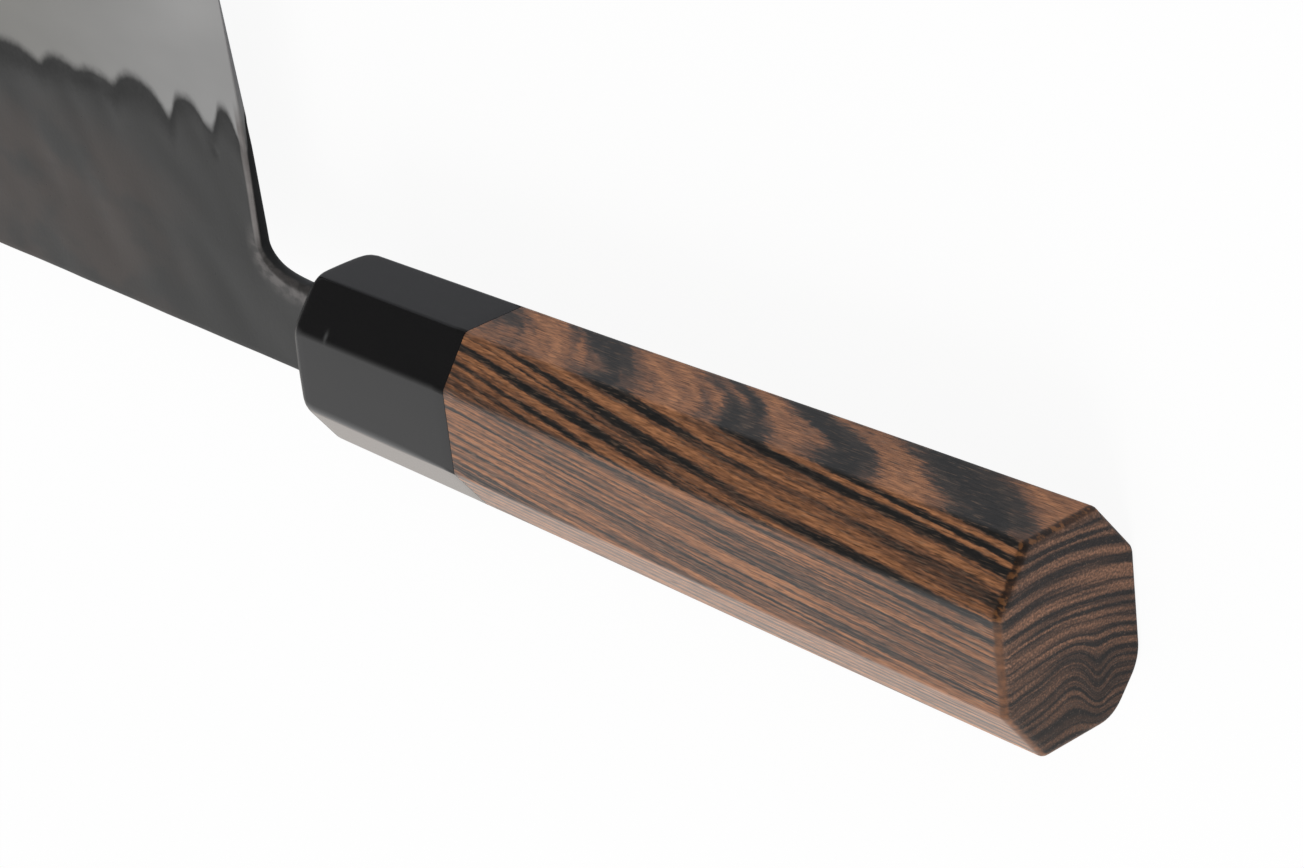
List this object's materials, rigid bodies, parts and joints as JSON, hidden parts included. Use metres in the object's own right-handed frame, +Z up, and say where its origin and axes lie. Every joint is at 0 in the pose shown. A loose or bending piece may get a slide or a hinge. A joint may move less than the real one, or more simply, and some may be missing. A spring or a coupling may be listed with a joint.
{
  "type": "santoku knife",
  "caption": "Kitchen knife with a broad hammered blade, ground bevel and sheepsfoot tip, on an octagonal striped-wood handle with a black ferrule.",
  "frame": {"origin": "under the middle of the knife's bounding box, on the surface that the knife lies on", "axes": "+X along the handle's axis from the tip towards the butt, +Y from the spine towards the cutting edge, +Z up out of the blade's right side, which faces up"},
  "size_m": [0.3178, 0.0586, 0.0215],
  "materials": {
    "core_steel": "hardened carbon steel, ground bright in fine strokes square to the edge",
    "forged_skin": "soft iron with hammer marks under dark forge scale, ground to a grey satin bevel below a scalloped line",
    "black_ferrule": "black, close-grained and evenly polished, flat facets with crisp eased edges",
    "striped_wood": "dense orange-brown hardwood with black stripes along the grain, oiled to a satin sheen",
    "pale_wood": "plain pale softwood dowel, unfinished",
    "dark_resin": "dark hardened adhesive, smooth"
  },
  "bodies": {
    "root": {"blade_core": "core_steel", "cladding_right": "forged_skin", "cladding_left": "forged_skin", "ferrule": "black_ferrule", "handle_body": "striped_wood", "tang_dowel": "pale_wood", "tang_adhesive": "dark_resin"}
  },
  "joints": []
}
